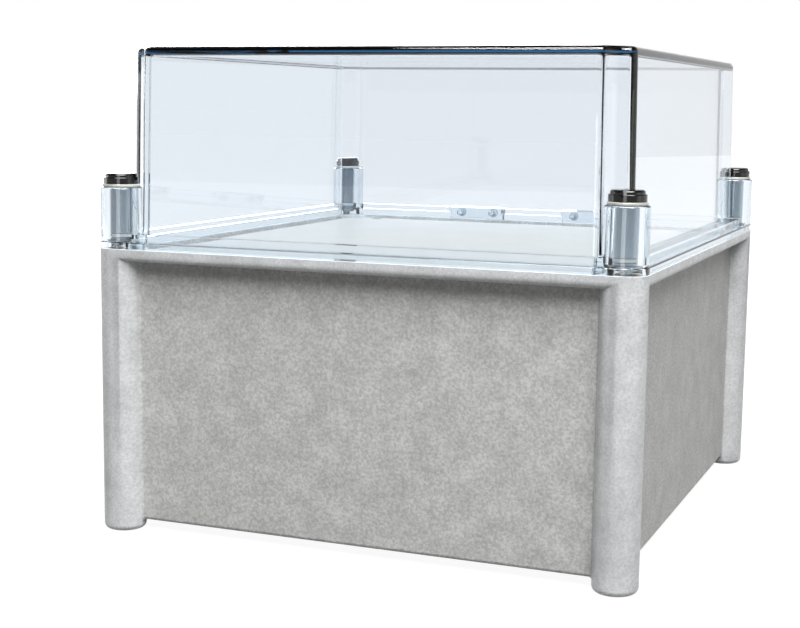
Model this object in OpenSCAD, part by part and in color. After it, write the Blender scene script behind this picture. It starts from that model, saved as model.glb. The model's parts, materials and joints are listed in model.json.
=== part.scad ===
/* [Enclosure] */
// Width over the flange, left to right
enclosure_w = 280; // [230:1:420]
// Depth over the flange, front to back
enclosure_d = 300; // [250:1:460]

/* [Base] */
// Height of the base, from the feet to the sealing face
base_h = 145; // [90:1:200]
// Height of the post feet below the underside of the floor
foot_h = 5; // [2:0.5:8]
// Outer radius of the corner posts
post_r = 10.75; // [10.5:0.05:11]
// Radius round the bottom edge of a post
post_foot_round = 3; // [1:0.5:4]
// Distance from the flange's edge back to the wall
wall_recess = 10; // [9.5:0.1:10.5]
// Thickness of the base's walls
base_wall = 3.5; // [3:0.1:4]
// Thickness of the base's floor
floor_t = 4; // [3:0.5:6]
// Height of the base's flange
rim_h = 6; // [5.5:0.1:8]
// Radius along the lower edge of the base's flange
rim_round = 3.5; // [1:0.5:4.5]
// Concave radius where walls meet the posts and the flange
cove_r = 1; // [0.5:0.5:3]
// Radius round the bottom edge of the walls
wall_foot_round = 2; // [0.5:0.5:3.5]

/* [Seal] */
// Distance from the flange's edge to the sealing groove
groove_inset = 5.5; // [5:0.1:5.8]
// Width of the sealing groove
groove_w = 4.5; // [4:0.1:4.8]
// Depth of the sealing groove
groove_depth = 4; // [3:0.1:4.5]
// Height of the gasket strip
gasket_h = 2.2; // [1.5:0.1:2.3]
// Gap between the gasket strip and the groove's walls
gasket_gap = 0.1; // [0.05:0.05:0.3]
// Width of the cover's sealing tongue
tongue_w = 1.8; // [1.2:0.1:2.2]
// Gap between the cover and the base's sealing face
seam = 0.3; // [0.3:0.1:0.8]

/* [Cover] */
// Height of the cover above the sealing face
cover_h = 100; // [60:1:150]
// Thickness of the cover's walls and top
cover_wall = 3.5; // [2.5:0.1:4]
// Height of the cover's thin outer ledge
ledge_h = 3.8; // [3:0.1:5]
// Height of the cover's raised ledge over the seal
raised_ledge_h = 7.2; // [6:0.1:9]
// Distance from the flange's edge to the foot of the hood
hood_inset = 10.4; // [10:0.1:11]
// Draft of the hood's walls in degrees
hood_draft = 1; // [0.5:0.1:1.5]
// Radius along the hood's top edges
hood_round = 2.5; // [1.5:0.5:4]
// Radius of the upright edges beside a corner notch
hood_edge_r = 4.5; // [4.5:0.5:6]
// Radius of the corner notch that gives room over a screw
notch_r = 11; // [9.6:0.1:11.6]

/* [Cover screws] */
// Radius of the screw towers on the cover
tower_r = 10.3; // [10.2:0.05:10.5]
// Height of the screw towers above the sealing face
tower_h = 30.7; // [22:0.5:45]
// Radius round the top edge of a screw tower
tower_round = 1; // [0.4:0.1:1.1]
// Radius of a screw head
head_r = 8.6; // [7.5:0.1:9]
// Height of a screw head
head_h = 5.3; // [4.6:0.1:8]
// Height of the narrower crown on top of a screw head
crown_h = 1.9; // [1.2:0.1:2.4]
// Radial step from a screw head's drum in to its crown
crown_step = 0.8; // [0.4:0.1:1.2]
// Radius round the top edge of a screw head
crown_round = 1.2; // [0.4:0.1:1.6]
// Width of the driver slot in a screw head
slot_w = 2.6; // [1:0.1:3.5]
// Depth of the driver slot in a screw head
slot_depth = 3.3; // [1:0.1:3.4]
// Radius of the washer under a screw head
washer_r = 9.2; // [8.7:0.1:9.6]
// Thickness of the washer under a screw head
washer_t = 1.4; // [0.8:0.1:2]
// Radius of a screw's shank
shank_r = 5.5; // [5:0.1:5.8]
// Radial running clearance of a shank in its tower
shank_clearance = 0.1; // [0.05:0.01:0.1]
// Radius of the neck between shank and foot
neck_r = 2.6; // [2:0.1:3]
// Thickness of the screw's bar-shaped foot
foot_bar_t = 3; // [2:0.1:4]
// Width of the screw's bar-shaped foot
foot_bar_w = 4; // [3:0.1:4.5]
// Depth below the sealing face at which the foot locks
lock_depth = 10; // [9:0.1:12]
// Height of the ring seal above the retaining ring
seal_rise = 2; // [1.5:0.1:8]

/* [Post inserts] */
// Outer radius of the locking insert in a post
insert_r = 7.8; // [7.6:0.05:7.9]
// Thickness of the insert's slotted shelf
shelf_t = 4; // [3:0.1:5]
// Gap between locking parts that pass one another
lock_gap = 0.4; // [0.3:0.05:0.6]
// Press clearance round an insert
insert_clearance = 0.03; // [0.01:0.01:0.1]

/* [Hinges] */
// Distance between the middles of the two hinges
hinge_spacing = 76; // [60:1:140]
// Width of a hinge
hinge_w = 36; // [30:1:44]
// Radius of a hinge's knuckles
knuckle_r = 4; // [3.5:0.1:4.2]
// Radius of a hinge pin
hinge_pin_r = 1.6; // [1.2:0.1:2]
// Radial running clearance of a hinge pin
hinge_clearance = 0.05; // [0.02:0.01:0.1]
// Distance of the hinge axis behind the flange's edge
hinge_out = 5.5; // [5.2:0.1:7]
// Distance of the hinge axis below the sealing face
hinge_down = 6; // [5.5:0.1:6.5]
// Thickness of a hinge leaf
leaf_t = 3; // [2.5:0.1:3.5]

/* [Mounting] */
// Distance of the wall fixing holes in from the flange's left and right edges
fixing_side = 30; // [28:1:80]
// Distance of the wall fixing holes in from the flange's front and rear edges
fixing_edge = 50; // [48:1:90]
// Radius of a wall fixing hole
fixing_r = 2.75; // [2:0.05:3.5]
// Distance of the mounting plate's screws from its left and right edges
plate_screw_side = 20.5; // [18.5:0.5:45.5]
// Distance of the mounting plate's screws from its front and rear edges
plate_screw_edge = 6.5; // [5.5:0.5:14.5]
// Thickness of the mounting plate
plate_t = 2.5; // [2:0.5:4]
// Depth of the mounting plate's face below the sealing face
plate_drop = 1.5; // [0.5:0.5:40]
// Radius of the columns that carry the mounting plate
plate_column_r = 6; // [4.5:0.1:6.5]
// Thickness of the webs between the columns and the walls
plate_web_t = 3; // [2:0.1:4]
// Gap between the mounting plate and the base's walls
plate_gap = 6; // [4:0.5:6]

/* [Hidden] */
$fn = 64;

BASE_GREY = "#c4c6c3";
CLEAR = [0.86, 0.92, 0.95, 0.35];
BLACK = "#1c1c1e";
STEEL = "#b4b8bc";
BRASS = "#b99a52";
PALE = "#d8d3c4";
PAINTED = "#eceeee";

eps = 0.01;
// Small overlap that makes touching arcs cross.
overlap = 0.01;
far = 2 * post_r;

// Screw axes: the posts' outer sides lie flush with the flange's edges.
screw_x = enclosure_w / 2 - post_r;
screw_y = enclosure_d / 2 - post_r;
floor_z = foot_h + floor_t;
cavity_inset = wall_recess + base_wall;

// The seal runs round the inside of the posts, parallel to the insert's bore.
groove_wall = 1.6;
bore_r = insert_r + insert_clearance;
groove_notch = bore_r + groove_wall;
column_r = groove_notch + groove_w + 2;
groove_edge_r = 1.5;
column_edge_r = 3;

// Heights in the cover.
cover_z = base_h + seam;
hood_foot_z = base_h + raised_ledge_h;
hood_top_z = base_h + cover_h;
tower_top_z = base_h + tower_h;

// Heights along a cover screw, worked out from the tower down to the locking foot.
seat_gap = 0.05;
washer_z = tower_top_z + seat_gap;
head_z = washer_z + washer_t + seat_gap;
shank_end_z = base_h + 2;
lock_z = base_h - lock_depth;
spigot_r = 4;
spigot_h = head_h - slot_depth - 0.8;
ring_z = base_h + 3.1;
ring_t = 1.2;
ring_r = shank_r + 1.7;
ring_groove_r = shank_r - 0.9;
seal_wire_r = 1.1;
seal_groove_r = shank_r + shank_clearance - 2 * seal_wire_r - 0.05;
tower_bore_r = shank_r + shank_clearance;
counterbore_r = ring_r + 0.4;
counterbore_top_z = ring_z + ring_t + 0.3;
seal_z = counterbore_top_z + seal_rise;

// Heights in a locking insert: the mouth, the slotted shelf and the pocket that the foot turns in.
shelf_bottom_z = lock_z + lock_gap + 1;
shelf_top_z = shelf_bottom_z + shelf_t;
insert_top_z = base_h - lock_gap;
insert_bottom_z = lock_z - foot_bar_t - 2 * lock_gap - 1;
mouth_r = insert_r - 1.3;
shelf_slot_half_w = foot_bar_w / 2 + 1.3 + lock_gap;
foot_bar_r = shank_r - 0.1;

// The hinge axis lies outside the flange's edge, halfway down the travel of the screws' feet.
hinge_y = enclosure_d / 2 + hinge_out;
hinge_z = base_h - hinge_down;
knuckle_gap = 0.4;
middle_knuckle_w = hinge_w * 0.45;
leaf_seat = 0.5;
pin_hole_r = hinge_pin_r + hinge_clearance;
wall_y = enclosure_d / 2 - wall_recess;
base_leaf_h = 30;
hinge_screw_r = 1.4;
hinge_screw_head_r = 2.8;
hinge_screw_head_h = 1.8;
hinge_screw_depth = 6;
hinge_screw_spread = hinge_w * 0.6;
base_screw_z = hinge_z - base_leaf_h + 6;
cover_screw_z = base_h + seam + (raised_ledge_h - seam) / 2;
hinge_boss_r = 4;
thread_gap = 0.05;

// Mounting plate and its fixings.
plate_z = base_h - plate_drop - plate_t;
plate_screw_r = 2;
plate_head_r = 3.8;
plate_insert_r = 2.8;
plate_insert_h = 6;
plate_hole_r = plate_screw_r + 0.25;
plate_inset = cavity_inset + plate_gap;
plate_fix_x = enclosure_w - 2 * (plate_inset + plate_screw_side);
plate_fix_y = enclosure_d - 2 * (plate_inset + plate_screw_edge);
fixing_x = enclosure_w - 2 * fixing_side;
fixing_y = enclosure_d - 2 * fixing_edge;
fixing_pad_r = 8;
fixing_boss_h = 3;

// Puts its children at the four screw axes, turned so that +X and +Y point to the enclosure's corner.
module at_corners() {
    for (mx = [0, 1], my = [0, 1])
        mirror([mx, 0, 0]) mirror([0, my, 0]) translate([screw_x, screw_y, 0]) children();
}

// Puts its children at the corners of a rectangle.
module at_rectangle(x, y) {
    for (sx = [-1, 1], sy = [-1, 1]) translate([sx * x / 2, sy * y / 2, 0]) children();
}

// Distance from a screw axis to the centre of the fillet beside its notch, along the wall.
function edge_reach(inset, notch, edge) =
    sqrt(pow(notch + edge, 2) - pow(post_r - inset - edge, 2));

// Cuts one corner of a plan back to a round notch about the screw axis, with filleted tips.
module notch_cutter(inset, notch, edge) {
    wall = post_r - inset;
    reach = edge_reach(inset, notch, edge);
    tangent = notch / (notch + edge);
    circle(r = notch + overlap);
    difference() {
        polygon([
            [wall, -reach], [far, -reach], [far, far], [-reach, far], [-reach, wall],
            tangent * [-reach, wall - edge], [0, 0], tangent * [wall - edge, -reach]
        ]);
        translate([wall - edge, -reach]) circle(r = edge);
        translate([-reach, wall - edge]) circle(r = edge);
    }
}

// Rectangle set in from the flange's edge, with each corner notched round its screw axis.
module notched_plan(inset, notch, edge) {
    difference() {
        square([enclosure_w - 2 * inset, enclosure_d - 2 * inset], center = true);
        for (mx = [0, 1], my = [0, 1])
            mirror([mx, 0]) mirror([0, my]) translate([screw_x, screw_y]) notch_cutter(inset, notch, edge);
    }
}

// A band of constant width that follows a notched plan.
module notched_band(inset, w, notch, edge, h) {
    linear_extrude(h) difference() {
        notched_plan(inset, notch, edge);
        notched_plan(inset + w, notch + w, edge);
    }
}

// Points of one corner of a notched outline, about its screw axis: fillet, notch, fillet.
EDGE_STEPS = 5;
NOTCH_STEPS = 10;
function arc(centre, r, a0, a1, steps, first, last) =
    [for (k = [first:last]) let (a = a0 + (a1 - a0) * k / steps) centre + r * [cos(a), sin(a)]];
function corner_points(inset, notch, edge) =
    let (wall = post_r - inset, reach = edge_reach(inset, notch, edge), lean = atan2(reach, edge - wall))
    concat(
        arc([wall - edge, -reach], edge, 0, lean, EDGE_STEPS, 0, EDGE_STEPS),
        arc([0, 0], notch, 180 + lean, 270 - lean, NOTCH_STEPS, 1, NOTCH_STEPS - 1),
        arc([-reach, wall - edge], edge, 90 - lean, 90, EDGE_STEPS, 0, EDGE_STEPS)
    );
function turned(p, quarter) =
    quarter == 0 ? p : turned([-p.y, p.x], quarter - 1);
CORNERS = [[1, 1], [-1, 1], [-1, -1], [1, -1]];
function notched_ring(z, inset, notch, edge) = [
    for (c = [0:3], p = corner_points(inset, notch, edge))
        let (q = turned(p, c)) [q.x + CORNERS[c].x * screw_x, q.y + CORNERS[c].y * screw_y, z]
];

// Solid lofted through notched rings, given as [height, inset, notch radius, edge radius] from the bottom up.
module notched_loft(levels) {
    rings = [for (l = levels) notched_ring(l[0], l[1], l[2], l[3])];
    n = len(rings[0]);
    sides = [
        for (k = [0:len(rings) - 2], i = [0:n - 1])
            let (a = k * n + i, b = k * n + (i + 1) % n)
            each [[a, a + n, b + n], [a, b + n, b]]
    ];
    bottom = [for (i = [0:n - 1]) i];
    top = [for (i = [0:n - 1]) len(rings) * n - 1 - i];
    polyhedron([for (r = rings) each r], concat([bottom], sides, [top]));
}

// Levels of a drafted hood skin: straight wall, then a quarter round into the top.
ROUND_STEPS = 5;
function hood_levels(from_z, top_z, inward, round_r, edge) =
    let (lean = tan(hood_draft), shoulder = top_z - round_r)
    concat(
        [for (z = [from_z, shoulder])
            let (d = inward + lean * (z - hood_foot_z)) [z, hood_inset + d, notch_r + d, edge]],
        [for (k = [1:ROUND_STEPS])
            let (a = 90 * k / ROUND_STEPS, in = round_r * (1 - cos(a)),
                 d = inward + lean * (shoulder - hood_foot_z) + in)
            [shoulder + round_r * sin(a), hood_inset + d, notch_r + d, max(edge - in, 0.3)]]
    );

// Slab with upright rounded corners and a round lower edge.
module rounded_slab(w, d, h, corner_r, edge_r) {
    module bar(length, width) {
        rotate([90, 0, 90]) translate([0, 0, -length / 2]) linear_extrude(length) {
            translate([edge_r - width / 2, 0]) square([width - 2 * edge_r, h]);
            translate([-width / 2, edge_r]) square([width, h - edge_r]);
            for (s = [-1, 1]) intersection() {
                translate([s * (width / 2 - edge_r), edge_r]) circle(r = edge_r);
                translate([-width / 2, 0]) square([width, edge_r + eps]);
            }
        }
    }
    bar(w - 2 * corner_r, d);
    rotate([0, 0, 90]) bar(d - 2 * corner_r, w);
    at_rectangle(w - 2 * corner_r, d - 2 * corner_r) rounded_post(corner_r, h, edge_r);
}

// Upright round post with a round lower edge.
module rounded_post(r, h, edge_r) {
    rotate_extrude() {
        square([r - edge_r, h]);
        translate([0, edge_r]) square([r, h - edge_r]);
        intersection() {
            translate([r - edge_r, edge_r]) circle(r = edge_r);
            square([r, edge_r + eps]);
        }
    }
}

// Concave fillets up the sides of a post, where the walls meet it.
module post_coves() {
    wall = post_r - wall_recess;
    reach = sqrt(pow(post_r + cove_r, 2) - pow(wall + cove_r, 2));
    translate([0, 0, foot_h]) linear_extrude(base_h - rim_h - foot_h + eps)
        for (swap = [0, 1]) mirror([swap, -swap]) difference() {
            polygon([[0, 0], [-reach, wall - cove_r], [-reach, wall],
                     post_r / (post_r + cove_r) * [-reach, wall + cove_r]]);
            translate([-reach, wall + cove_r]) circle(r = cove_r + overlap);
        }
}

// Concave fillet along the wall, under the flange.
module rim_cove(length, offset) {
    translate([-length / 2, -offset, base_h - rim_h]) rotate([90, 0, 90]) linear_extrude(length) difference() {
        translate([-cove_r, -cove_r]) square([cove_r + eps, cove_r + eps]);
        translate([-cove_r, -cove_r]) circle(r = cove_r);
    }
}

module base_outside() {
    wall_w = enclosure_w - 2 * wall_recess;
    wall_d = enclosure_d - 2 * wall_recess;
    translate([0, 0, base_h - rim_h]) rounded_slab(enclosure_w, enclosure_d, rim_h, post_r, rim_round);
    translate([0, 0, foot_h]) rounded_slab(wall_w, wall_d, base_h - foot_h - eps, 3, wall_foot_round);
    at_corners() {
        rounded_post(post_r, base_h - rim_h + rim_round, post_foot_round);
        post_coves();
    }
    for (a = [0, 180]) rotate([0, 0, a]) rim_cove(2 * screw_x, wall_d / 2);
    for (a = [90, 270]) rotate([0, 0, a]) rim_cove(2 * screw_y, wall_w / 2);
    at_rectangle(fixing_x, fixing_y) cylinder(r = fixing_pad_r, h = foot_h + eps);
}

module base_inside() {
    translate([0, 0, floor_z]) linear_extrude(base_h) notched_plan(cavity_inset, column_r, column_edge_r);
}

module floor_bosses() {
    at_rectangle(fixing_x, fixing_y) translate([0, 0, floor_z - eps]) cylinder(r = fixing_pad_r, h = fixing_boss_h + eps);
}

// Tall columns for the mounting plate, each tied to the nearer end wall by a web.
module plate_columns() {
    wall = enclosure_d / 2 - cavity_inset;
    for (a = [0, 180], s = [-1, 1]) rotate([0, 0, a]) translate([s * plate_fix_x / 2, plate_fix_y / 2, floor_z - eps]) {
        cylinder(r = plate_column_r, h = plate_z - floor_z + eps);
        translate([-plate_web_t / 2, 0, 0])
            cube([plate_web_t, wall - plate_fix_y / 2 + eps, plate_z - floor_z + eps]);
    }
}

module at_base_hinge_screws() {
    for (sx = [-1, 1], s = [-1, 1])
        translate([sx * hinge_spacing / 2 + s * hinge_screw_spread / 2, wall_y, base_screw_z])
            rotate([90, 0, 0]) children();
}

module enclosure_base() {
    color(BASE_GREY) difference() {
        union() {
            difference() {
                base_outside();
                base_inside();
            }
            floor_bosses();
            plate_columns();
            at_base_hinge_screws() cylinder(r = hinge_boss_r, h = base_wall + hinge_screw_depth);
        }
        translate([0, 0, base_h - groove_depth])
            notched_band(groove_inset, groove_w, groove_notch, groove_edge_r, groove_depth + 1);
        at_corners() {
            translate([0, 0, insert_bottom_z]) cylinder(r = bore_r, h = far);
            translate([0, 0, -1]) cylinder(r = post_r - base_wall - 1, h = insert_bottom_z - base_wall);
        }
        at_rectangle(fixing_x, fixing_y) translate([0, 0, -1]) cylinder(r = fixing_r, h = far);
        at_rectangle(plate_fix_x, plate_fix_y) translate([0, 0, plate_z - plate_insert_h])
            cylinder(r = plate_insert_r + insert_clearance, h = plate_insert_h + 1);
        at_base_hinge_screws() translate([0, 0, -1])
            cylinder(r = hinge_screw_r + thread_gap, h = base_wall + hinge_screw_depth - 1);
    }
}

// Locking insert: a mouth, a slotted shelf for the screw's foot to pass, and a pocket to turn it in.
module post_inserts() {
    color(BRASS) at_corners() difference() {
        translate([0, 0, insert_bottom_z + seat_gap]) cylinder(r = insert_r, h = insert_top_z - insert_bottom_z - seat_gap);
        translate([0, 0, shelf_top_z]) cylinder(r = mouth_r, h = far);
        translate([0, 0, insert_bottom_z + 1]) cylinder(r = mouth_r, h = shelf_bottom_z - insert_bottom_z - 1);
        intersection() {
            cylinder(r = foot_bar_r + lock_gap + 0.2, h = 2 * base_h);
            translate([-far / 2, -shelf_slot_half_w, insert_bottom_z + 1])
                cube([far, 2 * shelf_slot_half_w, far]);
        }
    }
}

module cover_gasket() {
    color(PALE) translate([0, 0, base_h - groove_depth])
        notched_band(groove_inset + gasket_gap, groove_w - 2 * gasket_gap, groove_notch + gasket_gap, groove_edge_r, gasket_h);
}

module mounting_plate() {
    color(PAINTED) translate([0, 0, plate_z]) difference() {
        linear_extrude(plate_t) notched_plan(plate_inset, column_r + plate_gap / 2, column_edge_r);
        at_rectangle(plate_fix_x, plate_fix_y) {
            translate([0, 0, -1]) cylinder(r = plate_hole_r, h = plate_t + 2);
            translate([0, 0, plate_t]) sunk_head(seat_gap);
        }
    }
}

// Countersunk head with its flat top on z = 0, larger all round by a gap.
module sunk_head(gap) {
    translate([0, 0, plate_screw_r - plate_head_r])
        cylinder(r1 = plate_screw_r + gap, r2 = plate_head_r + gap, h = plate_head_r - plate_screw_r);
    if (gap > 0) cylinder(r = plate_head_r + gap, h = 1);
}

module plate_inserts() {
    color(BRASS) at_rectangle(plate_fix_x, plate_fix_y) translate([0, 0, plate_z - plate_insert_h]) difference() {
        cylinder(r = plate_insert_r, h = plate_insert_h - seat_gap);
        translate([0, 0, -1]) cylinder(r = plate_screw_r + thread_gap, h = plate_insert_h + 2);
    }
}

module plate_screws() {
    length = plate_t + plate_insert_h - 1;
    color(STEEL) at_rectangle(plate_fix_x, plate_fix_y) translate([0, 0, plate_z + plate_t - seat_gap]) difference() {
        union() {
            sunk_head(0);
            translate([0, 0, -length]) cylinder(r = plate_screw_r, h = length - 1);
        }
        for (a = [0, 90]) rotate([0, 0, a]) translate([-2, -0.4, -1]) cube([4, 0.8, 2]);
    }
}

// Upright cylinder or pan head standing on z = 0, with a round upper edge.
module rounded_head(r, h, edge_r) {
    translate([0, 0, h]) mirror([0, 0, 1]) rounded_post(r, h, edge_r);
}

// Side view of one arm of the base leaf, drawn in Y and Z, with its knuckle at the end.
module base_arm_profile() {
    root_y = wall_y + leaf_t / 2;
    arm_top = base_h - rim_h - lock_gap - 0.3;
    polygon([[root_y, arm_top], [hinge_y, arm_top], [hinge_y, hinge_z - knuckle_r],
             [wall_y + leaf_t, hinge_z - knuckle_r - 9], [root_y, hinge_z - knuckle_r - 9]]);
    translate([hinge_y, hinge_z]) circle(r = knuckle_r);
}

module along_x(length) {
    translate([-length / 2, 0, 0]) rotate([90, 0, 90]) linear_extrude(length) children();
}

module hinge_base_leaf() {
    plate_top = base_h - rim_h - cove_r - 0.1;
    arm_w = (hinge_w - middle_knuckle_w) / 2 - knuckle_gap - 0.5;
    arm_x = middle_knuckle_w / 2 + knuckle_gap + arm_w / 2;
    color(BASE_GREY) difference() {
        union() {
            translate([-hinge_w / 2, wall_y + seat_gap, hinge_z - base_leaf_h])
                cube([hinge_w, leaf_t - seat_gap, plate_top - hinge_z + base_leaf_h]);
            for (s = [-1, 1]) translate([s * arm_x, 0, 0]) along_x(arm_w) base_arm_profile();
        }
        along_x(hinge_w + 2) translate([hinge_y, hinge_z]) circle(r = pin_hole_r);
        for (s = [-1, 1]) translate([s * hinge_screw_spread / 2, wall_y + leaf_t + 1, base_screw_z])
            rotate([90, 0, 0]) cylinder(r = hinge_screw_r + 0.15, h = leaf_t + 2);
    }
}

module hinge_cover_leaf() {
    plate_y = enclosure_d / 2 + leaf_seat + seat_gap;
    plate_low = hinge_z + knuckle_r + knuckle_gap + 0.3;
    color(CLEAR) difference() {
        union() {
            translate([-hinge_w / 2, plate_y, plate_low]) cube([hinge_w, leaf_t, hood_foot_z - plate_low]);
            translate([-middle_knuckle_w / 2, plate_y, hinge_z]) cube([middle_knuckle_w, leaf_t, plate_low - hinge_z + eps]);
            along_x(middle_knuckle_w) translate([hinge_y, hinge_z]) circle(r = knuckle_r);
        }
        along_x(hinge_w + 2) translate([hinge_y, hinge_z]) circle(r = pin_hole_r);
        for (s = [-1, 1]) translate([s * hinge_screw_spread / 2, plate_y + leaf_t + 1, cover_screw_z])
            rotate([90, 0, 0]) cylinder(r = hinge_screw_r + 0.15, h = leaf_t + 2);
    }
}

module hinge_pin() {
    color(STEEL) along_x(hinge_w - 1) translate([hinge_y, hinge_z]) circle(r = hinge_pin_r);
}

// Pan head screw pointing along -Z, its head standing on z = 0.
module leaf_screw() {
    difference() {
        union() {
            rounded_head(hinge_screw_head_r, hinge_screw_head_h, 1);
            translate([0, 0, -hinge_screw_depth - leaf_t + 1]) cylinder(r = hinge_screw_r, h = hinge_screw_depth + leaf_t);
        }
        for (a = [0, 90]) rotate([0, 0, a]) translate([-1.6, -0.35, 0.9]) cube([3.2, 0.7, 2]);
    }
}

module hinge_base_screws() {
    color(STEEL) at_base_hinge_screws() translate([0, 0, -leaf_t - seat_gap]) mirror([0, 0, 1]) leaf_screw();
}

module hinge_cover_screws() {
    color(STEEL) at_cover_hinge_screws() translate([0, 0, -leaf_t - seat_gap]) mirror([0, 0, 1]) leaf_screw();
}

module at_cover_hinge_screws() {
    for (sx = [-1, 1], s = [-1, 1])
        translate([sx * hinge_spacing / 2 + s * hinge_screw_spread / 2, enclosure_d / 2 + leaf_seat + seat_gap, cover_screw_z])
            rotate([90, 0, 0]) children();
}

// Flange of the cover: thin outer ledge, raised ledge over the seal and pads behind for the hinges.
module cover_flange() {
    translate([0, 0, base_h + ledge_h]) mirror([0, 0, 1])
        rounded_slab(enclosure_w, enclosure_d, ledge_h - seam, post_r, 0.8);
    translate([0, 0, cover_z]) linear_extrude(raised_ledge_h - seam)
        square([enclosure_w - 2 * groove_inset, enclosure_d - 2 * groove_inset], center = true);
    for (s = [-1, 1]) translate([s * hinge_spacing / 2 - hinge_w / 2, screw_y - post_r, cover_z])
        cube([hinge_w, 2 * post_r + leaf_seat, raised_ledge_h - seam]);
}

module clear_cover() {
    tongue_inset = groove_inset + (groove_w - tongue_w) / 2;
    tongue_drop = groove_depth - gasket_h - seam;
    color(CLEAR) difference() {
        union() {
            cover_flange();
            notched_loft(hood_levels(hood_foot_z - 1, hood_top_z, 0, hood_round, hood_edge_r));
            at_corners() translate([0, 0, cover_z]) rounded_head(tower_r, tower_h - seam, tower_round);
            translate([0, 0, base_h - tongue_drop]) notched_band(
                tongue_inset, tongue_w, groove_notch + (groove_w - tongue_w) / 2, groove_edge_r, tongue_drop + seam + 1);
        }
        notched_loft(hood_levels(base_h - groove_depth, hood_top_z - cover_wall, cover_wall, 1.5, 1.5));
        at_corners() {
            translate([0, 0, base_h - groove_depth]) cylinder(r = tower_bore_r, h = tower_h + 2 * groove_depth);
            translate([0, 0, base_h - groove_depth]) cylinder(r = counterbore_r, h = counterbore_top_z - base_h + groove_depth);
        }
        at_cover_hinge_screws() translate([0, 0, -1])
            cylinder(r = hinge_screw_r + thread_gap, h = hinge_screw_depth + 1.5);
    }
}

module head_washers() {
    color(PALE) at_corners() translate([0, 0, washer_z]) difference() {
        cylinder(r = washer_r, h = washer_t);
        translate([0, 0, -1]) cylinder(r = tower_bore_r + 0.2, h = washer_t + 2);
    }
}

module screw_retainers() {
    color(STEEL) at_corners() translate([0, 0, ring_z]) difference() {
        cylinder(r = ring_r, h = ring_t);
        translate([0, 0, -1]) cylinder(r = ring_groove_r + shank_clearance, h = ring_t + 2);
    }
}

// Shank, neck and bar-shaped foot of one cover screw, on its own axis.
module cover_screw() {
    color(STEEL) {
        difference() {
            translate([0, 0, shank_end_z]) cylinder(r = shank_r, h = head_z - shank_end_z);
            groove(ring_z - shank_clearance, ring_t + 2 * shank_clearance, ring_groove_r);
            groove(seal_z - seal_wire_r - 0.1, 2 * seal_wire_r + 0.2, seal_groove_r);
        }
        translate([0, 0, head_z - eps]) cylinder(r = spigot_r, h = spigot_h + eps);
        translate([0, 0, lock_z - eps]) cylinder(r = neck_r, h = shank_end_z - lock_z + 2 * eps);
        intersection() {
            translate([0, 0, lock_z - foot_bar_t]) cylinder(r = foot_bar_r, h = foot_bar_t);
            translate([-far / 2, -foot_bar_w / 2, 0]) cube([far, foot_bar_w, base_h]);
        }
    }
}

// Ring-shaped cut round a shank.
module groove(z, h, r) {
    translate([0, 0, z]) difference() {
        cylinder(r = shank_r + 1, h = h);
        translate([0, 0, -1]) cylinder(r = r, h = h + 2);
    }
}

// Slotted head of one cover screw, pressed on the shank's spigot: a drum with a narrower crown.
module screw_head(slot_turn) {
    drum_h = head_h - crown_h;
    color(BLACK) translate([0, 0, head_z]) difference() {
        union() {
            rounded_head(head_r, drum_h, 0.5);
            rounded_head(head_r - crown_step, head_h, crown_round);
        }
        translate([0, 0, -1]) cylinder(r = spigot_r + insert_clearance, h = spigot_h + 1 + seat_gap);
        rotate([0, 0, slot_turn]) translate([-far, -slot_w / 2, head_h - slot_depth]) cube([2 * far, slot_w, far]);
    }
}

// Ring seal in the groove of one shank.
module screw_seal() {
    color(PALE) translate([0, 0, seal_z]) rotate_extrude()
        translate([seal_groove_r + 0.02 + seal_wire_r, 0]) circle(r = seal_wire_r);
}

module at_screw(sx, sy) {
    translate([sx * screw_x, sy * screw_y, 0]) children();
}

module at_hinge(s) {
    translate([s * hinge_spacing / 2, 0, 0]) children();
}

enclosure_base();
post_inserts();
cover_gasket();
mounting_plate();
plate_inserts();
plate_screws();
at_hinge(-1) hinge_base_leaf();  // hinge_base_leaf_left
at_hinge(1) hinge_base_leaf();  // hinge_base_leaf_right
hinge_base_screws();
at_hinge(-1) hinge_pin();  // hinge_pin_left
at_hinge(1) hinge_pin();  // hinge_pin_right
clear_cover();
at_hinge(-1) hinge_cover_leaf();  // hinge_cover_leaf_left
at_hinge(1) hinge_cover_leaf();  // hinge_cover_leaf_right
hinge_cover_screws();
head_washers();
screw_retainers();
at_screw(-1, -1) cover_screw();  // cover_screw_front_left
at_screw(1, -1) cover_screw();  // cover_screw_front_right
at_screw(-1, 1) cover_screw();  // cover_screw_rear_left
at_screw(1, 1) cover_screw();  // cover_screw_rear_right
at_screw(-1, -1) screw_head(0);  // screw_head_front_left
at_screw(1, -1) screw_head(90);  // screw_head_front_right
at_screw(-1, 1) screw_head(0);  // screw_head_rear_left
at_screw(1, 1) screw_head(0);  // screw_head_rear_right
at_screw(-1, -1) screw_seal();  // screw_seal_front_left
at_screw(1, -1) screw_seal();  // screw_seal_front_right
at_screw(-1, 1) screw_seal();  // screw_seal_rear_left
at_screw(1, 1) screw_seal();  // screw_seal_rear_right
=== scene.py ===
"""Dresses the hinged polycarbonate enclosure and sets up its studio.

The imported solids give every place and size, so each piece here is worked out from their boxes. Lengths are in
metres, in the record's frame: X to the right, Y towards the hinges, Z up, with the origin between the wall
fixing holes.
"""

from __future__ import annotations

import json
import logging
import math
from dataclasses import dataclass
from enum import Enum
from typing import Any, Protocol, Sequence

import bmesh
import bpy
import numpy as np
from mathutils import Matrix, Vector

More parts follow.
